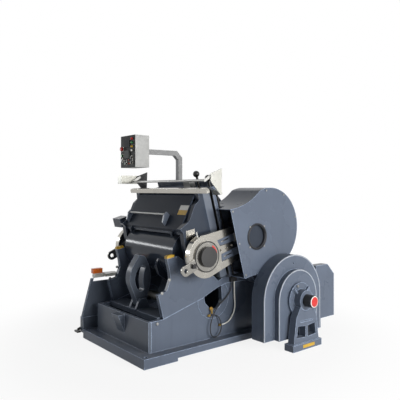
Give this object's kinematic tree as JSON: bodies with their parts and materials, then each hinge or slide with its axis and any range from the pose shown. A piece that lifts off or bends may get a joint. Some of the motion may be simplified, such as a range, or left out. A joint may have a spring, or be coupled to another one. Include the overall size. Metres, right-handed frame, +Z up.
{
  "type": "die_cutting_machine",
  "caption": "Hand-fed platen die-cutting and creasing press: leaning bed, tilting platen on two connecting rods, gear covers, flywheel, pedestal bearing, control box.",
  "frame": {"origin": "on the floor at the centre of the four anchor holes of the base", "axes": "+X to the right of the operator, +Y to the rear, +Z up"},
  "size_m": [1.896, 2.282, 2.039],
  "materials": {
    "slate_paint": "semi-gloss slate blue-grey enamel over castings",
    "dark_paint": "darker grey enamel on the front and the covers",
    "polished_steel": "ground and polished steel",
    "machined_steel": "plain machined steel, lightly oiled",
    "cast_iron": "bare cast iron",
    "bronze": "bronze bearing metal",
    "black_plastic": "moulded black",
    "box_grey": "pebbled light grey powder coat",
    "panel_black": "satin black panel",
    "lamp_glass": "coloured lens",
    "yellow_pad": "yellow pad",
    "rubber": "black rubber",
    "white_hose": "milky plastic hose",
    "red_plastic": "red button",
    "green_plastic": "green button",
    "white_plastic": "white button",
    "brass": "brass fitting"
  },
  "bodies": {
    "frame": {"base_frame": "slate_paint", "front_sill": "slate_paint", "cross_members": "slate_paint", "lower_walls": "slate_paint", "side_frames": "slate_paint", "die_bed": "slate_paint", "chase_plate": "machined_steel", "pivot_shaft": "machined_steel", "shaft_bushes": "bronze", "fasteners": "machined_steel", "buffer_blocks": "yellow_pad", "arm_fork": "slate_paint", "right_gear_cover": "slate_paint", "left_gear_cover": "slate_paint", "flywheel_cover": "slate_paint", "belt_guard": "slate_paint", "drive_belts": "rubber", "motor_body": "slate_paint", "motor_bracket": "slate_paint", "bearing_housing": "slate_paint", "pedestal": "slate_paint", "end_cap": "black_plastic", "mast": "dark_paint", "control_box": "box_grey", "control_face": "panel_black", "pilot_lamps": "lamp_glass", "display_modules": "panel_black", "rail_plates": "polished_steel", "chase_clamps": "black_plastic", "guard_box": "dark_paint", "lubricator": "white_plastic", "pipe_fittings": "brass", "conduits": "rubber", "control_cable": "rubber", "oil_hose": "white_hose"},
    "platen": {"platen_casting": "dark_paint", "platen_table": "machined_steel", "back_panel": "dark_paint", "top_bar": "polished_steel", "grab_rail": "polished_steel", "trunnion_caps": "black_plastic"},
    "right_rod": {"right_rod": "polished_steel"},
    "left_rod": {"left_rod": "polished_steel"},
    "right_lever": {"right_lever": "polished_steel"},
    "left_lever": {"left_lever": "polished_steel"},
    "crank_shaft": {"main_shaft": "machined_steel", "main_gears": "cast_iron"},
    "counter_shaft": {"counter_shaft": "machined_steel"},
    "drive_shaft": {"drive_shaft": "machined_steel", "flywheel": "cast_iron"},
    "motor_rotor": {"motor_pulley": "cast_iron"},
    "link_arm": {"link_arm": "slate_paint"},
    "foot_pedal": {"foot_pedal": "black_plastic"},
    "safety_rail": {"safety_rail": "machined_steel"},
    "stop_button": {"stop_button": "red_plastic"},
    "start_button": {"start_button": "green_plastic"},
    "jog_button": {"jog_button": "white_plastic"},
    "reset_button": {"reset_button": "black_plastic"},
    "mode_selector": {"mode_selector": "black_plastic"},
    "delay_selector": {"delay_selector": "black_plastic"}
  },
  "joints": [
    {"name": "platen_tilt", "type": "hinge", "parent": "frame", "child": "platen", "pos_m": [0, -0.21, 0.4], "axis": [1, 0, 0], "range_deg": [0, 38]},
    {"name": "right_rod_swing", "type": "hinge", "parent": "platen", "child": "right_rod", "pos_m": [0.62, -0.241, 0.902], "axis": [1, 0, 0], "range_deg": [-35.92, 0]},
    {"name": "left_rod_swing", "type": "hinge", "parent": "platen", "child": "left_rod", "pos_m": [-0.62, -0.241, 0.902], "axis": [1, 0, 0], "range_deg": [-35.92, 0]},
    {"name": "right_throw_off", "type": "hinge", "parent": "platen", "child": "right_lever", "pos_m": [0.657, -0.241, 0.902], "axis": [1, 0, 0], "range_deg": [0, 28]},
    {"name": "left_throw_off", "type": "hinge", "parent": "platen", "child": "left_lever", "pos_m": [-0.657, -0.241, 0.902], "axis": [1, 0, 0], "range_deg": [0, 28]},
    {"name": "link_arm_swing", "type": "hinge", "parent": "frame", "child": "link_arm", "pos_m": [0, -0.54, 0.43], "axis": [1, 0, 0], "range_deg": [0, 70.31]},
    {"name": "flywheel_turn", "type": "hinge", "parent": "frame", "child": "drive_shaft", "pos_m": [0.7, 0.655, 0.455], "axis": [1, 0, 0], "continuous": true},
    {"name": "counter_turn", "type": "hinge", "parent": "frame", "child": "counter_shaft", "pos_m": [0, 0.52608, 0.68194], "axis": [1, 0, 0], "continuous": true},
    {"name": "crank_turn", "type": "hinge", "parent": "frame", "child": "crank_shaft", "pos_m": [0, 0.50292, 1.10831], "axis": [1, 0, 0], "continuous": true},
    {"name": "motor_turn", "type": "hinge", "parent": "frame", "child": "motor_rotor", "pos_m": [0.77, 1.21, 0.395], "axis": [1, 0, 0], "continuous": true},
    {"name": "pedal_press", "type": "hinge", "parent": "frame", "child": "foot_pedal", "pos_m": [-0.62, -0.755, 0.12], "axis": [1, 0, 0], "range_deg": [0, 9], "stiffness_Nm_per_rad": 60, "springref_deg": -8.59},
    {"name": "rail_lift", "type": "hinge", "parent": "frame", "child": "safety_rail", "pos_m": [0, -0.15, 1.64], "axis": [1, 0, 0], "range_deg": [-30, 0]},
    {"name": "stop_button_press", "type": "slide", "parent": "frame", "child": "stop_button", "axis": [0, 1, 0], "range_m": [0, 0.004], "stiffness_N_per_m": 400, "springref_m": -0.003},
    {"name": "start_button_press", "type": "slide", "parent": "frame", "child": "start_button", "axis": [0, 1, 0], "range_m": [0, 0.004], "stiffness_N_per_m": 400, "springref_m": -0.003},
    {"name": "jog_button_press", "type": "slide", "parent": "frame", "child": "jog_button", "axis": [0, 1, 0], "range_m": [0, 0.004], "stiffness_N_per_m": 400, "springref_m": -0.003},
    {"name": "reset_button_press", "type": "slide", "parent": "frame", "child": "reset_button", "axis": [0, 1, 0], "range_m": [0, 0.004], "stiffness_N_per_m": 400, "springref_m": -0.003},
    {"name": "mode_selector_turn", "type": "hinge", "parent": "frame", "child": "mode_selector", "pos_m": [-0.106, -0.557, 1.819], "axis": [0, 1, 0], "range_deg": [-45, 45]},
    {"name": "delay_selector_turn", "type": "hinge", "parent": "frame", "child": "delay_selector", "pos_m": [-0.106, -0.557, 1.769], "axis": [0, 1, 0], "range_deg": [-45, 45]}
  ],
  "couplings": [
    {"joint": "right_rod_swing", "follows": "platen_tilt", "ratio": -0.94491},
    {"joint": "left_rod_swing", "follows": "platen_tilt", "ratio": -0.94491},
    {"joint": "link_arm_swing", "follows": "platen_tilt", "ratio": 1.85},
    {"joint": "left_throw_off", "follows": "right_throw_off", "ratio": 1},
    {"joint": "counter_turn", "follows": "flywheel_turn", "ratio": -0.31818},
    {"joint": "crank_turn", "follows": "flywheel_turn", "ratio": 0.086174},
    {"joint": "motor_turn", "follows": "flywheel_turn", "ratio": 5.2424}
  ]
}
